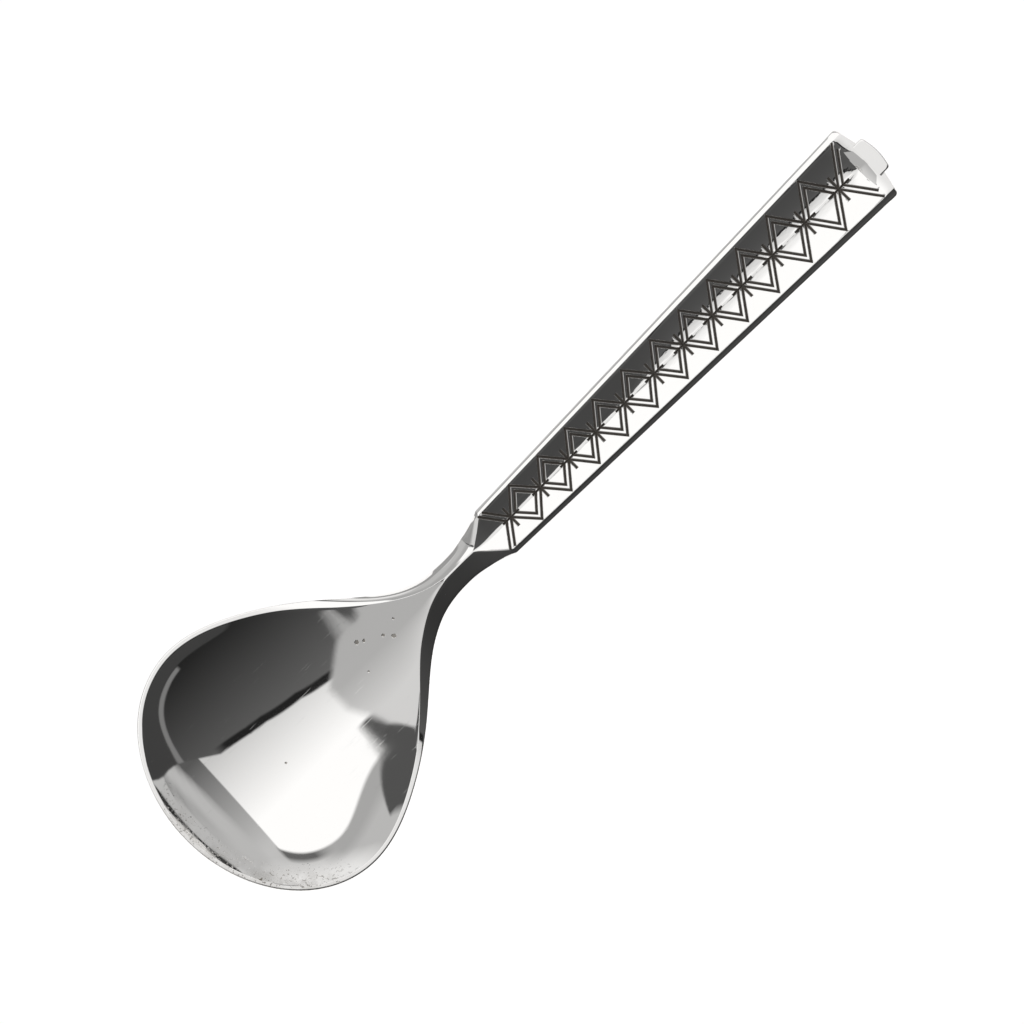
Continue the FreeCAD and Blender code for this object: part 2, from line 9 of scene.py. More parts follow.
import bmesh
import bpy
import numpy as np
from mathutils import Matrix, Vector


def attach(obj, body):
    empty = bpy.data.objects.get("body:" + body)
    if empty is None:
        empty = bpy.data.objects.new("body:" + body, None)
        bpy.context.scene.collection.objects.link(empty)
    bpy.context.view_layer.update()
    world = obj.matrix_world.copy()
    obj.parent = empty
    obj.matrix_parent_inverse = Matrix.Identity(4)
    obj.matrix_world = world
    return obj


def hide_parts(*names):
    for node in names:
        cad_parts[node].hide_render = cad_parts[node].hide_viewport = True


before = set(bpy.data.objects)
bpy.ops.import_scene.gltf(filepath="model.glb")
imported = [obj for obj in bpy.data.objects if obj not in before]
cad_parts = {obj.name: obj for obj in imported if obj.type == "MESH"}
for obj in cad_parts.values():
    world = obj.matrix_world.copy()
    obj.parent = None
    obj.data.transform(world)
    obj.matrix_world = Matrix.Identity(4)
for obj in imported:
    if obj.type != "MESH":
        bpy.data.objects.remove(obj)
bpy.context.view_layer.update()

MM = 0.001

# Main sizes, the same as the solid's
TIP = 140.0
NOSE = 17.2
BOWL_HALF = 21.2
DEPTH = 8.0
WALL = 1.15
BOTTOM_FLAT = 0.05
RIM_WIDTH = 0.75
RIM_EDGE = 0.9
NECK = 54.4
NECK_HALF = 2.48
NECK_DROP = 1.6
RIDGE_OFFSET = 0.4
ARROW = 58.3
SHOULDER = 62.6
SHOULDER_HALF = 4.28
SHOULDER_BEVEL = 0.87
HANDLE_END = 138.05
END_HALF = 6.6
END_HEIGHT = 2.5
END_BEVEL = 1.08
END_PEAK = 0.5
END_CORNER = 0.9
TROUGH_END = 136.05
WALL_TOP = 137.55
HANDLE_DROP = 0.45
CHAMFER = 0.8
CHAMFER_RATIO = 0.9
SLOPE = 0.27
FLAT_HALF = 0.1
TAB_HALF = 2.95

HOLLOW_HALF = BOWL_HALF - RIM_WIDTH
HOLLOW_RADIUS = (HOLLOW_HALF ** 2 + DEPTH ** 2) / (2 * DEPTH)
UNDER_RADIUS = HOLLOW_RADIUS + WALL
RIM_HEIGHT = DEPTH + WALL - BOTTOM_FLAT
NECK_HEIGHT = RIM_HEIGHT + 2.9
SHOULDER_HEIGHT = RIM_HEIGHT + 3.5
HANDLE_LENGTH = HANDLE_END - SHOULDER


def between(start, end, share):
    return start + (end - start) * share


def smooth_curve(points, start_slope, end_slope):
    """A function y(x): the cubic spline through the points with the given end slopes."""
    xs = np.array([p[0] for p in points], float)
    ys = np.array([p[1] for p in points], float)
    gaps = np.diff(xs)
    rises = np.diff(ys) / gaps
    count = len(xs)
    table = np.zeros((count, count))
    right = np.zeros(count)
    table[0, 0], table[0, 1], right[0] = 2 * gaps[0], gaps[0], 6 * (rises[0] - start_slope)
    table[-1, -1], table[-1, -2] = 2 * gaps[-1], gaps[-1]
    right[-1] = 6 * (end_slope - rises[-1])
    for i in range(1, count - 1):
        table[i, i - 1:i + 2] = gaps[i - 1], 2 * (gaps[i - 1] + gaps[i]), gaps[i]
        right[i] = 6 * (rises[i] - rises[i - 1])
    bends = np.linalg.solve(table, right)

    def value(x):
        i = int(min(max(np.searchsorted(xs, x) - 1, 0), count - 2))
        gap, before, after = gaps[i], xs[i + 1] - x, x - xs[i]
        return float((bends[i] * before ** 3 + bends[i + 1] * after ** 3) / (6 * gap)
                     + (ys[i] / gap - bends[i] * gap / 6) * before
                     + (ys[i + 1] / gap - bends[i + 1] * gap / 6) * after)

    return value


def shares(start, end, low, high, rows):
    return [(between(start, end, a), between(low, high, b)) for a, b in rows]


# Outline and crest lines seen from above
TAPER = [(0, 1), (0.306, 0.806), (0.505, 0.539), (0.694, 0.217), (0.846, 0.046), (1, 0)]
FLARE = [(0, 0), (0.35, 0.1), (0.7, 0.49), (1, 1)]
INNER_TAPER = [(0.306, 0.785), (0.425, 0.645), (0.577, 0.404), (0.663, 0.265), (0.759, 0.139),
               (0.831, 0.069), (0.93, 0.014), (1, 0)]
RIM_RISE = [(0, 0), (0.2, -0.092), (0.344, -0.228), (0.559, -0.3605), (0.66, -0.216), (0.747, 0.0665),
            (0.831, 0.3865), (0.93, 0.844), (1, 1)]
back_curve = smooth_curve(shares(NOSE, NECK, NECK_HALF, BOWL_HALF, TAPER), 0, 0)
neck_curve = smooth_curve(shares(NECK, SHOULDER, NECK_HALF, SHOULDER_HALF, FLARE), 0, 0.37)
inner_curve = smooth_curve([(NOSE, HOLLOW_HALF)] + shares(NOSE, NECK, 0, BOWL_HALF, INNER_TAPER), 0, 0)
rim_curve = smooth_curve([(-5.0, RIM_HEIGHT + 0.35), (0.0, RIM_HEIGHT + 0.2)]
                         + shares(NOSE, NECK, RIM_HEIGHT, NECK_HEIGHT, RIM_RISE), -0.03, 0.06)
shoulder_crest = SHOULDER_HALF - SHOULDER_BEVEL
shoulder_crease = SHOULDER_HEIGHT - SLOPE * shoulder_crest
end_crease = END_HEIGHT - SLOPE * (END_HALF - END_BEVEL)
crease_fall = (end_crease - shoulder_crease) / HANDLE_LENGTH


def handle_share(x):
    return (x - SHOULDER) / HANDLE_LENGTH


def half_width(x):
    if x < NOSE:
        return BOWL_HALF * math.sqrt(max(0.0, 1 - ((NOSE - x) / NOSE) ** 2))
    if x < NECK:
        return back_curve(x)
    if x < SHOULDER:
        return neck_curve(x)
    return between(SHOULDER_HALF, END_HALF, handle_share(x))


def crest_half(x):
    if x < NOSE:
        return HOLLOW_HALF * math.sqrt(max(0.0, 1 - ((NOSE - x) / (NOSE - RIM_WIDTH)) ** 2))
    if x < NECK:
        return max(0.0, inner_curve(x))
    if x < SHOULDER:
        return shoulder_crest * max(0.0, (x - ARROW) / (SHOULDER - ARROW))
    return half_width(x) - between(SHOULDER_BEVEL, END_BEVEL, handle_share(x))


def crease_height(x):
    return shoulder_crease + crease_fall * (x - SHOULDER)


def crest_height(x):
    if x < NECK:
        return rim_curve(x)
    if x < ARROW:
        return between(NECK_HEIGHT, crease_height(ARROW), (x - NECK) / (ARROW - NECK))
    return crease_height(x) + SLOPE * crest_half(x)


def hollow_height(x):
    if x < NOSE:
        squared = HOLLOW_HALF ** 2 * (1 - ((NOSE - x) / (NOSE - RIM_WIDTH)) ** 2)
    else:
        squared = crest_half(x) ** 2
    return crest_height(x) + math.sqrt(HOLLOW_RADIUS ** 2 - squared) - HOLLOW_RADIUS


def bowl_under_height(x):
    if x < NOSE:
        squared = BOWL_HALF ** 2 * (1 - ((NOSE - x) / NOSE) ** 2)
    else:
        squared = half_width(x) ** 2
    return crest_height(x) - RIM_EDGE - UNDER_RADIUS + math.sqrt(UNDER_RADIUS ** 2 - squared)


def at_share(share):
    return between(NOSE, NECK, share)


under_points = [(x, bowl_under_height(x))
                for x in (-4.0, 0.0, 0.23 * NOSE, 0.46 * NOSE, 0.73 * NOSE, NOSE)]
under_points += [(at_share(s), bowl_under_height(at_share(s))) for s in (0.15, 0.3, 0.43)]
under_points += [(at_share(s), hollow_height(at_share(s)) - w) for s, w in ((0.577, 1.65), (0.76, 2.4))]
SHOULDER_UNDER = SHOULDER_HEIGHT - 2.6
under_fall = -SHOULDER_UNDER / (HANDLE_END - 5.0 - SHOULDER)
under_points += [(NECK, NECK_HEIGHT - 3.2), (SHOULDER, SHOULDER_UNDER)]
under_curve = smooth_curve(under_points, -1.2, under_fall)
# How steep the hollow climbs behind the bowl's widest place, at distances from there
CLIMB = [(0.0, 0.0), (1.4, 0.07), (2.8, 0.141), (4.3, 0.195), (5.7, 0.231), (7.1, 0.257), (10.0, 0.294),
         (12.9, 0.314), (17.2, 0.337), (21.5, 0.35), (27.2, 0.358), (38.0, 0.362)]
climb_curve = smooth_curve(CLIMB, 0.05, 0)


def rise_behind(distance):
    count = 200
    return sum(climb_curve(distance * (i + 0.5) / count) for i in range(count)) * distance / count


hollow_points = [(x, hollow_height(x)) for x in (0.0, 0.23 * NOSE, 0.46 * NOSE, 0.73 * NOSE, NOSE)]
hollow_points += [(NOSE + d, hollow_height(NOSE) + rise_behind(d)) for d in range(2, 38, 3)]
hollow_curve = smooth_curve(hollow_points, -1.2, 0.36)


def arc_rise(radius, y):
    return radius - math.sqrt(radius ** 2 - y ** 2)


def under_surface(x, y):
    low = under_curve(x) if x < SHOULDER else SHOULDER_UNDER + under_fall * (x - SHOULDER)
    return max(0.0, low + arc_rise(UNDER_RADIUS, y))


# Bevels outside the crests, from the bowl's widest place to the shoulder: the bevel's drop as a share
# of the neck's, the sideways shift of the ridge, and the reach of the chamfer below the edge
BEVEL_DROPS = [(0.0, 0.0), (0.24, 0.0), (0.31, 0.03), (0.37, 0.14), (0.47, 0.4), (0.57, 0.66),
               (0.68, 0.9), (0.757, 0.95), (0.82, 0.94), (0.87, 0.92), (0.905, 0.92)]
RIDGE_SHIFTS = [(0.37, 0.0), (0.47, 0.1), (0.57, 0.9), (0.68, 1.0), (0.87, 1.0), (0.905, 0.85),
                (0.955, 0.3), (1.0, 0.0)]
CHAMFER_REACHES = [(0.33, 0.0), (0.43, 0.3), (0.52, 0.75), (0.62, 1.0), (0.82, 1.2), (0.91, 1.1),
                   (1.0, 1.0)]
drop_curve = smooth_curve(shares(NOSE, SHOULDER, 0, 1, BEVEL_DROPS), 0, 0)
shift_points = shares(NOSE, SHOULDER, 0, RIDGE_OFFSET, RIDGE_SHIFTS)
reach_points = shares(NOSE, SHOULDER, 0, CHAMFER, CHAMFER_REACHES)


def on_line(x, points):
    """The height at x of the bent line through the points."""
    return float(np.interp(x, [p[0] for p in points], [p[1] for p in points]))


def bevel_drop(x):
    if x > SHOULDER:
        return HANDLE_DROP
    if x > ARROW:
        return between(NECK_DROP * drop_curve(ARROW), HANDLE_DROP, (x - ARROW) / (SHOULDER - ARROW))
    return NECK_DROP * max(0.0, drop_curve(x))


# Sections: from the middle line out over the crest, the edge and the underside, back to the middle
HOLLOW_STEPS = 20
RIM_STEPS = 6
CORNER_STEPS = 3
UNDER_STEPS = 14
CREST_RADIUS = 0.1
EDGE_RADIUS = 0.3
NECK_EDGE_RADIUS = 0.4
TURN_RADIUS = 0.3
LEAST_TURN = 0.35
MIN_CREST = 0.12
LEAST_RIM = 0.2
# How far a bevel is crowned, as a share of its drop
UPPER_BULGE = 0.09
LOWER_BULGE = -0.05


def rounded(before, at, after, radius, steps):
    """Points on the arc that rounds a section's corner."""
    to_before = (Vector(before) - Vector(at))
    to_after = (Vector(after) - Vector(at))
    room = 0.45 * min(to_before.length, to_after.length)
    to_before.normalize()
    to_after.normalize()
    half = max(to_before.angle(to_after) / 2, 1e-3)
    reach = min(radius / math.tan(half), room)
    start = Vector(at) + to_before * reach
    finish = Vector(at) + to_after * reach
    points = []
    for i in range(steps + 1):
        t = i / steps
        points.append(start * (1 - t) ** 2 + Vector(at) * 2 * t * (1 - t) + finish * t ** 2)
    return points


def make_section(inner, outer, top, edge_drop, wall_low, reach, hollow, under, edge_radius, bulge):
    """A section's points as (distance, height) from the middle line out and back underneath."""
    step = 0.02
    stretch = 20
    crest = (inner, top)
    edge = (outer, top - edge_drop)
    low = (outer, wall_low + reach * CHAMFER_RATIO)
    turn_at = outer - max(reach, LEAST_TURN)
    turn = (turn_at, under(turn_at))
    inside = (inner - step, hollow(inner - step) if inner > 2 * step else top)
    slope_in = (between(inner, inside[0], stretch), between(top, inside[1], stretch))
    crest_corner = rounded(slope_in, crest, edge, CREST_RADIUS, CORNER_STEPS)
    edge_corner = rounded(crest, edge, low, edge_radius, CORNER_STEPS + 1)
    low_corner = rounded(edge, low, turn, edge_radius, CORNER_STEPS)
    turn_corner = rounded(low, turn, (turn_at - 0.5, under(turn_at - 0.5)), TURN_RADIUS, CORNER_STEPS)
    points = []
    first = crest_corner[0][0]
    for i in range(HOLLOW_STEPS):
        d = first * i / HOLLOW_STEPS
        points.append((d, hollow(d)))
    points += [tuple(p) for p in crest_corner]
    for i in range(1, RIM_STEPS):
        share = i / RIM_STEPS
        p = crest_corner[-1].lerp(edge_corner[0], share)
        points.append((p.x, p.y + bulge * edge_drop * 4 * share * (1 - share)))
    points += [tuple(p) for p in edge_corner + low_corner + turn_corner]
    last = turn_corner[-1][0]
    for i in range(1, UNDER_STEPS + 1):
        d = last * (1 - i / UNDER_STEPS)
        points.append((d, under(d)))
    return points


def front_rib(angle):
    """A rib of the bowl's front, from the place of its greatest width outwards."""
    ahead, across = math.cos(angle), math.sin(angle)
    inner = Vector((-(NOSE - RIM_WIDTH) * ahead, HOLLOW_HALF * across))
    outer = Vector((-NOSE * ahead, BOWL_HALF * across))
    inner_length = inner.length
    full = inner_length + (outer - inner).length

    def top_place(d):
        if d <= inner_length:
            return inner * (d / inner_length)
        return inner + (outer - inner) * ((d - inner_length) / (full - inner_length))

    def under_place(d):
        return outer * (d / full)

    def hollow(d):
        place = top_place(d)
        return hollow_curve(NOSE + place.x) + arc_rise(HOLLOW_RADIUS, place.y)

    def under(d):
        place = under_place(d)
        return under_surface(NOSE + place.x, place.y)

    edge = NOSE + outer.x
    top = crest_height(edge)
    points = make_section(inner_length, full, top, 0.0, top - RIM_EDGE, 0.0, hollow, under,
                          EDGE_RADIUS, 0.0)
    half = len(points) - UNDER_STEPS - CORNER_STEPS - 1
    rib = []
    for i, (d, z) in enumerate(points):
        place = top_place(d) if i < half else under_place(d)
        rib.append((NOSE + place.x, place.y, z))
    return rib


def rear_rib(x, side):
    """A rib behind the bowl's widest place, square to the middle line."""
    wide = half_width(x)
    shift = on_line(x, shift_points)
    middle = shift * (1 - min(1.0, crest_half(x) / 2))
    inner = max(crest_half(x), MIN_CREST) + side * (shift - middle)
    wide_here = wide - side * middle
    inner = min(inner, wide_here - LEAST_RIM)
    top = crest_height(x)
    radius = on_line(x, [(45, EDGE_RADIUS), (52, NECK_EDGE_RADIUS)])

    def hollow(d):
        if x < ARROW:
            if crest_half(x) < MIN_CREST:
                return top
            free = hollow_curve(x) + arc_rise(HOLLOW_RADIUS, d + side * middle)
            gap = top - hollow_curve(x) - arc_rise(HOLLOW_RADIUS, inner + side * middle)
            return min(top, free + gap * (d / inner) ** 2)
        return crease_height(x) + SLOPE * max(0.0, d - FLAT_HALF)

    def under(d):
        return under_surface(x, d)

    lower_bulge = LOWER_BULGE if x >= SHOULDER else 0.0
    bulge = UPPER_BULGE if side > 0 else lower_bulge
    points = make_section(inner, wide_here, top, bevel_drop(x), under_surface(x, wide),
                          on_line(x, reach_points), hollow, under, radius, bulge)
    rib = []
    turn = len(points) - UNDER_STEPS - CORNER_STEPS - 1
    for i, (d, z) in enumerate(points):
        blend = 1.0 if i < turn else (len(points) - 1 - i) / (len(points) - turn)
        rib.append((x, side * d + middle * blend, z))
    return rib


def spaced(start, end, step):
    count = max(1, round((end - start) / step))
    return [between(start, end, i / count) for i in range(count)]


FRONT_RIBS = 44
rear_places = spaced(NOSE, NECK, 0.6) + spaced(NECK, ARROW, 0.35)
rear_places += [ARROW - 0.04, ARROW, ARROW + 0.04] + spaced(ARROW, SHOULDER, 0.3)[1:]
rear_places += spaced(SHOULDER, TROUGH_END, 3.5) + [TROUGH_END]


def end_rib(x, side):
    """A rib of the handle's end, where the trough's wall rises to the rim."""
    share = min(1.0, (x - TROUGH_END) / (WALL_TOP - TROUGH_END))
    line_top = crest_height(min(x, HANDLE_END))
    crest = crest_half(min(x, HANDLE_END))
    wide = half_width(min(x, HANDLE_END))
    corner_start = HANDLE_END - END_CORNER
    if x > corner_start:
        # first a rounded corner, then a straight line to the tab
        rest = (x - corner_start) / (END_CORNER + END_PEAK)
        if rest < 0.5:
            wide -= 0.9 * (1 - math.sqrt(max(0.0, 1 - (rest / 0.53) ** 2)))
        else:
            wide = between(wide - 0.6, TAB_HALF, (rest - 0.5) / 0.5)
    crest = min(crest, wide - 0.4)

    def hollow(d):
        foot = crease_height(TROUGH_END) + SLOPE * max(0.0, d - FLAT_HALF)
        return min(line_top, between(foot, line_top, share))

    def under(d):
        return under_surface(x, d)

    bulge = UPPER_BULGE if side > 0 else LOWER_BULGE
    points = make_section(crest, wide, line_top, HANDLE_DROP, under_surface(x, wide), CHAMFER,
                          hollow, under, EDGE_RADIUS, bulge)
    return [(x, side * d, z) for d, z in points]


end_places = spaced(TROUGH_END, WALL_TOP, 0.25)[1:] + spaced(WALL_TOP, HANDLE_END + END_PEAK, 0.12)
end_places.append(HANDLE_END + END_PEAK)


def side_ribs(side):
    return [rear_rib(x, side) for x in rear_places] + [end_rib(x, side) for x in end_places]


left = side_ribs(1)
right = side_ribs(-1)
front_angles = [90 - 90 * i / FRONT_RIBS for i in range(1, 2 * FRONT_RIBS)]
ribs = left[::-1] + [front_rib(math.radians(angle)) for angle in front_angles] + right
size_count = len(ribs[0])
vertices = [(x - TIP / 2, y, z) for rib in ribs for x, y, z in rib]
faces = []
for i in range(len(ribs) - 1):
    for j in range(size_count - 1):
        a = i * size_count + j
        b = a + size_count
        faces.append((a, b, b + 1, a + 1))
first_end = list(range(size_count))
last_end = [(len(ribs) - 1) * size_count + j for j in range(size_count)]
faces.append(tuple(first_end + last_end[::-1]))

silver = bpy.data.materials.new("silver")
oxide = bpy.data.materials.new("silver_oxide")


def mesh_object(name, points, polygons, number):
    """A solid whose faces have the numbered one of the two materials."""
    mesh = bpy.data.meshes.new(name)
    mesh.materials.append(silver)
    mesh.materials.append(oxide)
    mesh.from_pydata([Vector(p) * MM for p in points], [], polygons)
    built = bmesh.new()
    built.from_mesh(mesh)
    bmesh.ops.remove_doubles(built, verts=built.verts, dist=2e-6)
    bmesh.ops.dissolve_degenerate(built, edges=built.edges, dist=1e-6)
    bmesh.ops.recalc_face_normals(built, faces=built.faces)
    for face in built.faces:
        face.material_index = number
    built.to_mesh(mesh)
    built.free()
    item = bpy.data.objects.new(name, mesh)
    bpy.context.scene.collection.objects.link(item)
    return item


spoon = mesh_object("spoon", vertices, faces, 0)


def combine(target, tool, operation):
    """Adds the tool's solid to the target or cuts it away, and removes the tool."""
    bpy.context.view_layer.update()
    modifier = target.modifiers.new("combine", "BOOLEAN")
    modifier.object = tool
    modifier.operation = operation
    modifier.solver = "MANIFOLD"
    result = bpy.data.meshes.new_from_object(
        target.evaluated_get(bpy.context.evaluated_depsgraph_get()))
    target.modifiers.clear()
    target.data = result
    bpy.data.objects.remove(tool)


# Tab on the end
TAB_BACK = HANDLE_END - 0.35
TAB_FACE = TIP - 0.3
TAB_TOP = END_HEIGHT + 0.35
TAB_BOTTOM = TAB_TOP - 1.5
TAB_CORNER = 0.6
TAB_EDGE = 0.3


def tab_outline(inset):
    """The tab's outline from above, drawn in by an inset on its three free sides."""
    half, face, bulge = TAB_HALF - inset, TAB_FACE - inset, TIP - TAB_FACE
    corner = TAB_CORNER
    points = [(TAB_BACK, -half)]
    for i in range(6):
        a = math.radians(-90 + 18 * i)
        points.append((face - corner + corner * math.cos(a), -half + corner + corner * math.sin(a)))
    for i in range(1, 12):
        y = between(-half + corner, half - corner, i / 12)
        points.append((face + bulge * (1 - (y / (half - corner)) ** 2), y))
    for i in range(6):
        a = math.radians(18 * i)
        points.append((face - corner + corner * math.cos(a), half - corner + corner * math.sin(a)))
    return points + [(TAB_BACK, half)]


tab_levels = [(0.0, TAB_BOTTOM)]
for i in range(6):
    a = math.radians(18 * i)
    tab_levels.append((TAB_EDGE * (1 - math.cos(a)), TAB_TOP - TAB_EDGE + TAB_EDGE * math.sin(a)))
tab_points = [(x - TIP / 2, y, z) for inset, z in tab_levels for x, y in tab_outline(inset)]
ring = len(tab_outline(0))
tab_faces = [tuple(range(ring))[::-1], tuple(range(len(tab_points) - ring, len(tab_points)))]
for level in range(len(tab_levels) - 1):
    for j in range(ring):
        a, b = level * ring + j, level * ring + (j + 1) % ring
        tab_faces.append((a, b, b + ring, a + ring))
combine(spoon, mesh_object("tab", tab_points, tab_faces, 0), "UNION")

# Engraving: V-shaped grooves cut into the trough's sides. The stars are the crosses' middles.
FIRST_STAR = 65.6
LAST_STAR = 132.1
STAR_STEPS = [5.95, 5.7, 5.5, 5.8, 6.0, 5.9, 5.9, 6.0, 6.2, 6.6, 6.85]
APEX_SHARE = 0.86
APEX_SHARE_GAIN = 0.08
GROOVE_WIDTH = 0.48
GROOVE_DEPTH = 0.22
SPACING = 0.72
SHORTEST_ARM = 1.6
LONGEST_ARM = 2.15
ALONG_ARM_SHARE = 0.92
ALONG_BAR_WIDTH = 0.6
ACROSS_BAR_WIDTH = 1.15
CUTTER_HEAD = 0.35
CUTTER_OVERRUN = 0.12
groove_top = GROOVE_WIDTH / 2 * (GROOVE_DEPTH + CUTTER_HEAD) / GROOVE_DEPTH
stars = [FIRST_STAR]
for step in STAR_STEPS:
    stars.append(stars[-1] + step * (LAST_STAR - FIRST_STAR) / sum(STAR_STEPS))


def on_flank(x, y, side):
    return Vector((x, side * y, crease_height(x) + SLOPE * (y - FLAT_HALF)))


def flank_normal(side):
    return Vector((-crease_fall, -side * SLOPE, 1)).normalized()


def edge_points(place, aside, up, wide=1.0):
    head = place + up * CUTTER_HEAD
    half = aside * (groove_top * wide)
    return [place - up * GROOVE_DEPTH, head + half, head - half]


def square_section(place, end, up, wide=1.0):
    run = (end - place).normalized()
    return edge_points(end + run * CUTTER_OVERRUN, run.cross(up).normalized(), up, wide)


def apex_section(before, apex, after, up):
    aside_before = (apex - before).cross(up).normalized()
    aside_after = (after - apex).cross(up).normalized()
    return edge_points(apex, (aside_before + aside_after) / (1 + aside_before.dot(aside_after)), up)


def crease_section(foot, toward, up, wide=1.0):
    run = (toward - foot).normalized()
    return [p - run * (p.y / run.y) for p in edge_points(foot, run.cross(up).normalized(), up, wide)]


def flipped(points):
    return [points[0], points[2], points[1]]


def bar_chain(sections, is_ring):
    """Points and faces of three-sided bars through the sections."""
    points = [p for item in sections for p in item]
    polygons = []
    count = len(sections)
    for i in range(count if is_ring else count - 1):
        a, b = 3 * i, 3 * ((i + 1) % count)
        polygons += [(a, a + 1, b + 1, b), (a + 1, a + 2, b + 2, b + 1), (a + 2, a, b, b + 2)]
    if not is_ring:
        polygons += [(2, 1, 0), (3 * count - 3, 3 * count - 2, 3 * count - 1)]
    return points, polygons


def lozenge(centre, run, height):
    sections = []
    for step, side in ((-1, 1), (1, -1)):
        foot, other = on_flank(centre + step * run, 0, side), on_flank(centre - step * run, 0, side)
        apex, up = on_flank(centre, height, side), flank_normal(side)
        sections += [crease_section(foot, apex, up), apex_section(foot, apex, other, up)]
    return bar_chain(sections, True)


def wedge(foot_x, end_x, end_y, wide=1.0):
    near, far = flank_normal(1), flank_normal(-1)
    foot, end = on_flank(foot_x, 0, 1), on_flank(end_x, end_y, 1)
    far_foot, far_end = on_flank(foot_x, 0, -1), on_flank(end_x, end_y, -1)
    return bar_chain([flipped(square_section(far_foot, far_end, far, wide)),
                      crease_section(foot, end, near, wide),
                      square_section(foot, end, near, wide)], False)


def end_wedges(star, end_x, limit_x):
    height = crest_half(end_x) - 0.15
    run = end_x - star
    inset = math.copysign(SPACING * math.hypot(run, height) / height, run)
    share = min(1.0, (limit_x - star - inset) / run)
    return [wedge(star, end_x, height), wedge(star + inset, star + inset + run * share, height * share)]


def along_bar(star, half_length):
    back, ahead = on_flank(star - half_length, 0, 1), on_flank(star + half_length, 0, 1)
    up = Vector((-crease_fall, 0, 1)).normalized()
    return bar_chain([flipped(square_section(ahead, back, up, ALONG_BAR_WIDTH)),
                      square_section(back, ahead, up, ALONG_BAR_WIDTH)], False)


# Cutters that cross each other are cut one group after another
groups = [[], [], [], [], []]
for number, (before, after) in enumerate(zip(stars, stars[1:])):
    centre, run = (before + after) / 2, (after - before) / 2
    share = (centre - stars[0]) / (stars[-1] - stars[0])
    height = crest_half(centre) * (APEX_SHARE + APEX_SHARE_GAIN * (2 * share - 1) ** 2)
    inner_run = run - SPACING * math.hypot(run, height) / height
    groups[number % 2].append(lozenge(centre, run, height))
    groups[2].append(lozenge(centre, inner_run, height * inner_run / run))
for number, star in enumerate(stars):
    arm = between(SHORTEST_ARM, LONGEST_ARM, number / (len(stars) - 1))
    groups[3].append(along_bar(star, arm * ALONG_ARM_SHARE))
    groups[4].append(wedge(star, star, arm, ACROSS_BAR_WIDTH))
front_lines = end_wedges(stars[0], SHOULDER + 0.55, SHOULDER - 1.0)
end_lines = end_wedges(stars[-1], TROUGH_END - 0.1, TROUGH_END - 0.1)
groups[1].append(front_lines[0])
groups[len(STAR_STEPS) % 2].append(end_lines[0])
groups[2] += [front_lines[1], end_lines[1]]
for group in groups:
    points, polygons = [], []
    for chain_points, chain_polygons in group:
        base = len(points)
        points += [(p.x - TIP / 2, p.y, p.z) for p in chain_points]
        polygons += [tuple(base + i for i in polygon) for polygon in chain_polygons]
    combine(spoon, mesh_object("grooves", points, polygons, 1), "DIFFERENCE")

# Camera: straight above, the spoon's length along the picture's rising diagonal. A pixel is that
# many millimetres, and the spoon's middle stands at that column and row of the picture.
PICTURE = 1024
PIXEL = 0.14315
MIDDLE_COLUMN = 532.7
MIDDLE_ROW = 495.1
SENSOR = 36.0
CAMERA_HEIGHT = 2.5
FOCUS_HEIGHT = 0.007
camera_data = bpy.data.cameras.new("camera")
camera = bpy.data.objects.new("camera", camera_data)
bpy.context.scene.collection.objects.link(camera)
bpy.context.scene.camera = camera
camera_data.sensor_width = SENSOR
camera_data.lens = SENSOR * CAMERA_HEIGHT / (PICTURE * PIXEL * MM)
camera_data.clip_start = 0.05
camera_data.clip_end = 10.0
right_way = Vector((math.cos(math.radians(45)), -math.sin(math.radians(45)), 0))
up_way = Vector((math.sin(math.radians(45)), math.cos(math.radians(45)), 0))
offset = (PICTURE / 2 - MIDDLE_COLUMN) * right_way - (PICTURE / 2 - MIDDLE_ROW) * up_way
camera.location = offset * PIXEL * MM + Vector((0, 0, FOCUS_HEIGHT + CAMERA_HEIGHT))
camera.rotation_euler = (0, 0, math.radians(-45))


# Materials and light are written as sums over sockets
class Wire:
    """A node's output that can be added, multiplied and compared like a number."""

    def __init__(self, tree, socket):
        self.tree, self.socket = tree, socket

    def calc(self, operation, *others, clamp=False):
        node = self.tree.nodes.new("ShaderNodeMath")
        node.operation = operation
        node.use_clamp = clamp
        for target, value in zip(node.inputs, (self,) + others):
            connect(self.tree, value, target)
        return Wire(self.tree, node.outputs[0])

    def __add__(self, other):
        return self.calc("ADD", other)

    def __sub__(self, other):
        return self.calc("SUBTRACT", other)

    def __mul__(self, other):
        return self.calc("MULTIPLY", other)

    def __truediv__(self, other):
        return self.calc("DIVIDE", other)

    def __rsub__(self, other):
        return (self * -1.0) + other

    __radd__ = __add__
    __rmul__ = __mul__

    def over(self, edge, soft):
        """0 below the edge and 1 above it, with a soft step of the given width."""
        return self.calc("SUBTRACT", edge).calc("DIVIDE", soft).calc("ADD", 0.5, clamp=True)

    def under(self, edge, soft):
        return self.calc("SUBTRACT", edge).calc("DIVIDE", -soft).calc("ADD", 0.5, clamp=True)

    def mixed(self, other, share):
        """This value turned into the other one by a share."""
        node = self.tree.nodes.new("ShaderNodeMix")
        node.data_type = "FLOAT"
        for number, value in ((0, share), (2, self), (3, other)):
            connect(self.tree, value, node.inputs[number])
        return Wire(self.tree, node.outputs[0])


def connect(tree, value, target):
    if isinstance(value, Wire):
        tree.links.new(value.socket, target)
    else:
        target.default_value = value


def dot(tree, vector, direction):
    node = tree.nodes.new("ShaderNodeVectorMath")
    node.operation = "DOT_PRODUCT"
    tree.links.new(vector, node.inputs[0])
    node.inputs[1].default_value = direction
    return Wire(tree, node.outputs["Value"])


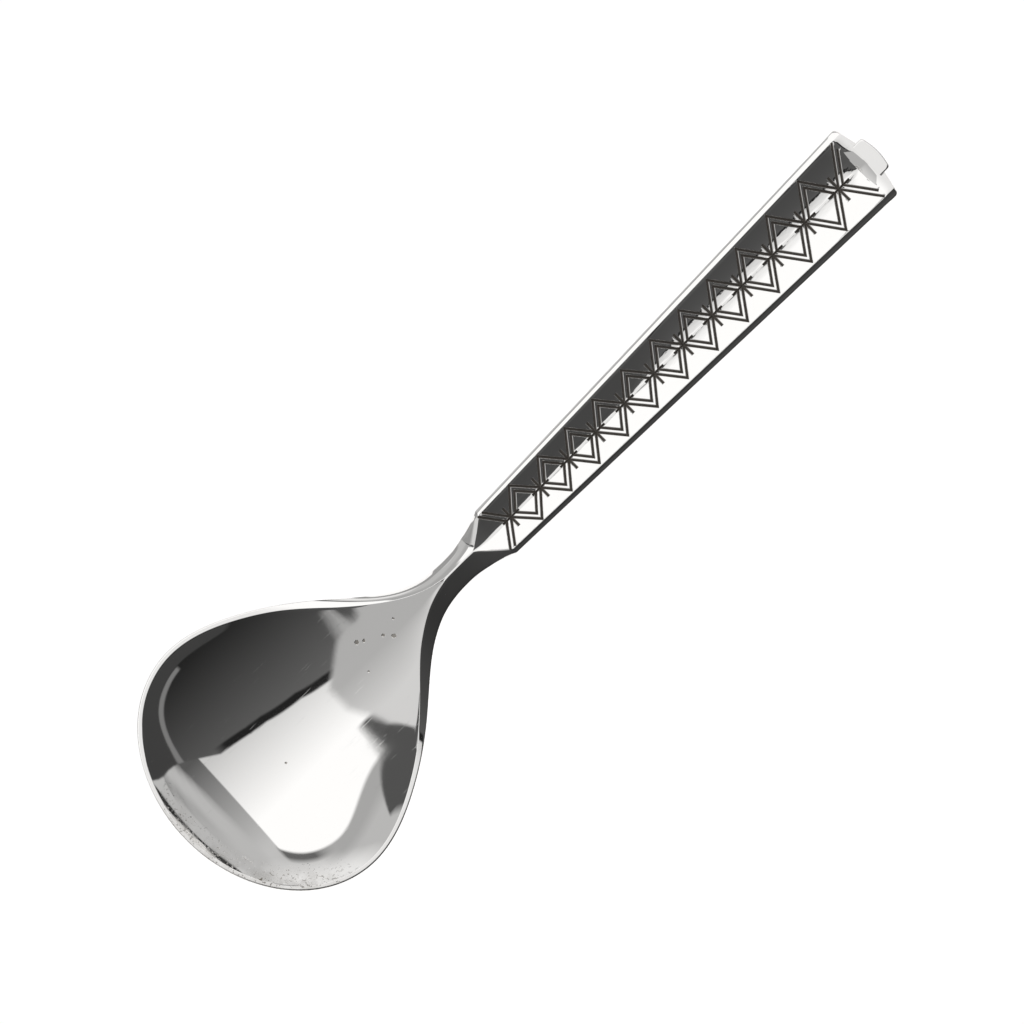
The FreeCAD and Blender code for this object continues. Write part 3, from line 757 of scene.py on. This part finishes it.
# Smooth faces keep their flat planes, and only the rounded edges between them shade over
for polygon in spoon.data.polygons:
    polygon.use_smooth = True
spoon.data.set_sharp_from_angle(angle=math.radians(40))
weighted = spoon.modifiers.new("planes", "WEIGHTED_NORMAL")
weighted.keep_sharp = True
weighted.weight = 100


class Surface:
    """A metal's node tree with the place on the spoon, in metres, and its noises."""

    def __init__(self, material):
        material.use_nodes = True
        self.tree = material.node_tree
        self.shader = self.tree.nodes["Principled BSDF"]
        self.place = self.tree.nodes.new("ShaderNodeTexCoord").outputs["Object"]
        self.x = dot(self.tree, self.place, (1, 0, 0))
        self.y = dot(self.tree, self.place, (0, 1, 0))
        self.z = dot(self.tree, self.place, (0, 0, 1))
        self.aside = self.y.calc("ABSOLUTE")

    def noise(self, fine, stretch=1.0, turn=0.0, detail=2.0):
        """Noise with so many grains a metre, longer by the stretch along a turned direction."""
        mapping = self.tree.nodes.new("ShaderNodeMapping")
        self.tree.links.new(self.place, mapping.inputs["Vector"])
        mapping.inputs["Rotation"].default_value = (0, 0, math.radians(turn))
        mapping.inputs["Scale"].default_value = (fine / stretch, fine, fine / stretch)
        grain = self.tree.nodes.new("ShaderNodeTexNoise")
        self.tree.links.new(mapping.outputs[0], grain.inputs["Vector"])
        grain.inputs["Scale"].default_value = 1.0
        grain.inputs["Detail"].default_value = detail
        return Wire(self.tree, grain.outputs[0])

    def scratches(self, fine, turn, share):
        line = self.noise(fine, 60.0, turn, 1.0).over(0.77, 0.05)
        return line * self.noise(140.0, 1.0, turn, 1.0).over(share, 0.1)

    def spot(self, x, y, size):
        ahead, across = self.x - (x - TIP / 2) * MM, self.y - y * MM
        ragged = self.noise(2500.0) * 0.0005 - 0.00025
        return ((ahead * ahead + across * across).calc("SQRT") + ragged).under(size * MM, 0.0001)

    def colour(self, bright, dull, share):
        mix = self.tree.nodes.new("ShaderNodeMix")
        mix.data_type = "RGBA"
        connect(self.tree, share, mix.inputs[0])
        mix.inputs[6].default_value = (*bright, 1)
        mix.inputs[7].default_value = (*dull, 1)
        self.tree.links.new(mix.outputs[2], self.shader.inputs["Base Color"])

    def finish(self, metallic, roughness, height):
        connect(self.tree, metallic, self.shader.inputs["Metallic"])
        connect(self.tree, roughness, self.shader.inputs["Roughness"])
        bump = self.tree.nodes.new("ShaderNodeBump")
        bump.inputs["Strength"].default_value = 1.0
        bump.inputs["Distance"].default_value = 1.0
        connect(self.tree, height, bump.inputs["Height"])
        self.tree.links.new(bump.outputs[0], self.shader.inputs["Normal"])


def along(surface, start, end, low, high):
    """A length in millimetres that goes from low to high between two places on the spoon."""
    share = ((surface.x - (start - TIP / 2) * MM) / ((end - start) * MM)).calc("MINIMUM", 1.0)
    return share.calc("MAXIMUM", 0.0) * ((high - low) * MM) + low * MM


metal = Surface(silver)
scratch = metal.scratches(9000.0, 20.0, 0.5).calc("MAXIMUM", metal.scratches(8000.0, -55.0, 0.52))
scratch = scratch.calc("MAXIMUM", metal.scratches(10000.0, 75.0, 0.5))
# Pits and dull film by the front rim, and a few dark specks (place along, place across, radius)
SPECKS = [(37.3, 2.9, 0.28), (38.2, 2.3, 0.2), (40.7, 0.9, 0.25), (41.7, -0.2, 0.3),
          (17.8, -2.2, 0.16), (43.4, 1.6, 0.14), (35.6, -1.2, 0.1)]
rim_x, rim_y = (metal.x + (TIP / 2 - NOSE) * MM) / (NOSE * MM), metal.y / (BOWL_HALF * MM)
near_rim = (rim_x * rim_x + rim_y * rim_y).calc("SQRT").over(0.86, 0.12)
film = near_rim * metal.x.under((12.0 - TIP / 2) * MM, 0.006) * metal.y.under(0.006, 0.005)
film = film * metal.noise(420.0, 1.0, 0.0, 4.0).over(0.45, 0.3)
pits = film * metal.noise(2600.0, 1.0, 0.0, 2.0).over(0.64, 0.05)
for x, y, size in SPECKS:
    pits = pits.calc("MAXIMUM", metal.spot(x, y, size))
# The trough's sides are slightly hollow, more so towards the handle's end
fold = along(metal, 90.0, 101.0, 0.12, 1.35)
crest_line = along(metal, SHOULDER, HANDLE_END, shoulder_crest, END_HALF - END_BEVEL)
reach = (metal.aside.calc("MINIMUM", crest_line) - FLAT_HALF * MM).calc("MAXIMUM", 0.0)
sag = reach * 0.12 - (reach / fold).calc("ARCTANGENT") * fold * 0.39
sag = sag * metal.x.over((SHOULDER - 2.1 - TIP / 2) * MM, 0.003)
sag = sag * metal.x.under((TROUGH_END - 1 - TIP / 2) * MM, 0.002)
rough_fold = metal.aside.under(0.0013, 0.0012) * metal.x.over(-0.008, 0.004)
rough_fold = rough_fold * metal.x.under(0.066, 0.002)
sag = sag + metal.noise(1300.0, 2.5, 0.0, 3.0) * rough_fold * 0.00004
waves = metal.noise(90.0, 1.0, 0.0, 1.0) * 0.00001 + metal.noise(1500.0, 1.0, 0.0, 2.0) * 0.0000003
metal.colour((0.955, 0.945, 0.93), (0.3, 0.27, 0.23), film * 0.25 + pits * 0.75)
metal.finish(1.0, metal.noise(300.0) * 0.05 + scratch * 0.22 + film * 0.12 + pits * 0.3 + 0.01,
             waves + sag - pits * 0.00004 - scratch * 0.0000006)

# Grooves: blackened at the bottom, bare along their upper edges
black = Surface(oxide)
crease = crease_height(TIP / 2) - SLOPE * FLAT_HALF
flank = black.x * crease_fall + black.aside * SLOPE + crease * MM
bare = (flank - black.z).under(0.00006, 0.00004)
black.colour((0.17, 0.153, 0.137), (0.9, 0.885, 0.865), bare)
black.finish(bare * 0.7 + 0.3, bare.calc("MULTIPLY_ADD", -0.3, 0.4) + black.noise(3000.0) * 0.1,
             black.noise(6000.0) * 0.000012)

# The studio round the spoon. A place in its sky is flat: the zenith at (0, 0), the horizon at
# distance 1, "front" growing against the spoon's length and "aside" growing to its upper left.
world = bpy.data.worlds.new("studio")
bpy.context.scene.world = world
world.use_nodes = True
sky = world.node_tree
generated = sky.nodes.new("ShaderNodeTexCoord").outputs["Generated"]
depth = (dot(sky, generated, (0, 0, 1)) + 1.0).calc("MAXIMUM", 0.02)
front = dot(sky, generated, (-1, 0, 0)) / depth
aside = dot(sky, generated, (0, 1, 0)) / depth


def bent(value, base, slope, *corners):
    """A bent line: base + slope * value, and a change of slope past each corner."""
    line = value * slope + base
    for corner, change in corners:
        line = line + (value - corner).calc("MAXIMUM", 0.0) * change
    return line


def disc(centre, radius, soft):
    x, y = front - centre[0], aside - centre[1]
    return (x * x + y * y).calc("SQRT").under(radius, soft)


PAPER_CENTRE = (-0.1, 0.0)
ROOM_CENTRE = (0.0, -0.12)
# Outside the paper: light gray walls with a dark line round the paper
wall = aside.calc("MULTIPLY_ADD", 0.8, 0.3).calc("MAXIMUM", 0.1)
wall = wall.mixed(0.5, front.under(-0.655, 0.03))
wall = wall.mixed(0.5, aside.over(0.36, 0.15))
wall = wall.mixed(0.85, (front * -0.6 + aside).over(0.85, 0.2))
line_end = front.over(-0.56, 0.03) * (front * 0.9 + aside).over(-0.16, 0.03)
wall = wall.mixed(0.13, disc(PAPER_CENTRE, 0.635, 0.04) * line_end * front.under(-0.26, 0.2))
wall = wall.mixed(0.4, disc(PAPER_CENTRE, 0.7, 0.08) * front.over(-0.26, 0.2))
# The paper overhead
paper_light = bent(aside, 0.83, 1.2).calc("MINIMUM", 1.05).calc("MAXIMUM", 0.6)
overhead = disc(PAPER_CENTRE, 0.575, 0.02) * (front + aside * 0.1).over(-0.516, 0.012)
tone = wall.mixed(paper_light, overhead)
# The dark room aside, with its darkest strip along the paper and a gray ring by its far wall
edge = bent(front, -0.148, 0.1, (0.15, 0.16), (0.29, 0.8))
edge = edge + (front * -1.0 - 0.33).calc("MAXIMUM", 0.0) * -0.28
room = aside + 0.75
room = (room * room * 0.13 + room * 0.07 + 0.019).calc("MAXIMUM", 0.012)
strip = (aside - edge).over(-0.04, 0.012) * front.over(-0.3, 0.1)
room = room.mixed(0.016, strip)
ring = disc(ROOM_CENTRE, 0.665, 0.015) * (1.0 - disc(ROOM_CENTRE, 0.625, 0.015))
room = room.mixed(0.2, ring * front.under(-0.04, 0.04))
room = room.mixed(0.05, 1.0 - disc(ROOM_CENTRE, 0.67, 0.015))
tone = tone.mixed(room, (aside - edge).under(0.0, 0.012))
# Behind the handle: a light gray wall, and a darker one to its right
side_wall = bent(aside, 0.44, 0.0, (0.0, 1.0)).calc("MINIMUM", 0.66)
wall_edge = bent(aside, 0.319, 0.0, (0.1, 0.08), (0.3, 0.15), (0.43, -0.3))
wall_edge = wall_edge + bent(aside * -1.0, 0.0, 0.0, (0.03, 0.22), (0.19, -0.15))
dark_edge = bent(aside, 0.317, 0.0, (0.42, -0.15))
dark_wall = (front - dark_edge).over(0.0, 0.008) * aside.over(0.2, 0.02) * aside.under(0.74, 0.04)
tone = tone.mixed(0.085, dark_wall)
side_wall = side_wall.mixed(0.3, aside.over(0.5, 0.1))
tone = tone.mixed(side_wall, (front - wall_edge).over(0.0, 0.008) * aside.over(-0.35, 0.04))
# The low sky is dark, and gray on the side of the paper
low_tone = (aside.over(0.2, 0.5) * 0.2 + 0.1) * front.over(-0.7, 0.2) + 0.03
tone = tone.mixed(low_tone, (front * front + aside * aside).over(0.78, 0.05))

# Reflections show the studio. Other light comes evenly, and the camera sees plain white.
EVEN_LIGHT = 0.3
background = sky.nodes["Background"]
colour = sky.nodes.new("ShaderNodeCombineColor")
for i in range(3):
    sky.links.new(tone.socket, colour.inputs[i])
sky.links.new(colour.outputs[0], background.inputs["Color"])
plain = sky.nodes.new("ShaderNodeBackground")
plain.inputs["Color"].default_value = (1, 1, 1, 1)
choose = sky.nodes.new("ShaderNodeMixShader")
sky_rays = sky.nodes.new("ShaderNodeLightPath")
straight = Wire(sky, sky_rays.outputs["Is Camera Ray"])
connect(sky, straight * (1 - EVEN_LIGHT) + EVEN_LIGHT, plain.inputs["Strength"])
sky.links.new(sky_rays.outputs["Is Glossy Ray"], choose.inputs[0])
sky.links.new(plain.outputs[0], choose.inputs[1])
sky.links.new(background.outputs[0], choose.inputs[2])
sky.links.new(choose.outputs[0], sky.nodes["World Output"].inputs["Surface"])

# Floor: pale paper that looks white, straight or in a reflection, and keeps a soft shadow
FLOOR_SIZE = 2.0
FLOOR_GLOW = 0.75
floor_mesh = bpy.data.meshes.new("floor")
corners = [(-FLOOR_SIZE, -FLOOR_SIZE), (FLOOR_SIZE, -FLOOR_SIZE), (FLOOR_SIZE, FLOOR_SIZE),
           (-FLOOR_SIZE, FLOOR_SIZE)]
floor_mesh.from_pydata([(x, y, 0) for x, y in corners], [], [(0, 1, 2, 3)])
floor = bpy.data.objects.new("floor", floor_mesh)
bpy.context.scene.collection.objects.link(floor)
paper = bpy.data.materials.new("paper")
paper.use_nodes = True
base = paper.node_tree.nodes["Principled BSDF"]
base.inputs["Base Color"].default_value = (0.9, 0.9, 0.9, 1)
base.inputs["Roughness"].default_value = 0.9
base.inputs["Emission Color"].default_value = (1, 1, 1, 1)
rays = paper.node_tree.nodes.new("ShaderNodeLightPath")
seen = Wire(paper.node_tree, rays.outputs["Is Camera Ray"])
for kind in ("Is Glossy Ray", "Is Transmission Ray"):
    seen = seen.calc("MAXIMUM", Wire(paper.node_tree, rays.outputs[kind]))
connect(paper.node_tree, seen * FLOOR_GLOW, base.inputs["Emission Strength"])
floor_mesh.materials.append(paper)

bpy.context.scene.view_settings.view_transform = "Standard"

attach(spoon, "root")
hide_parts("jam_spoon")
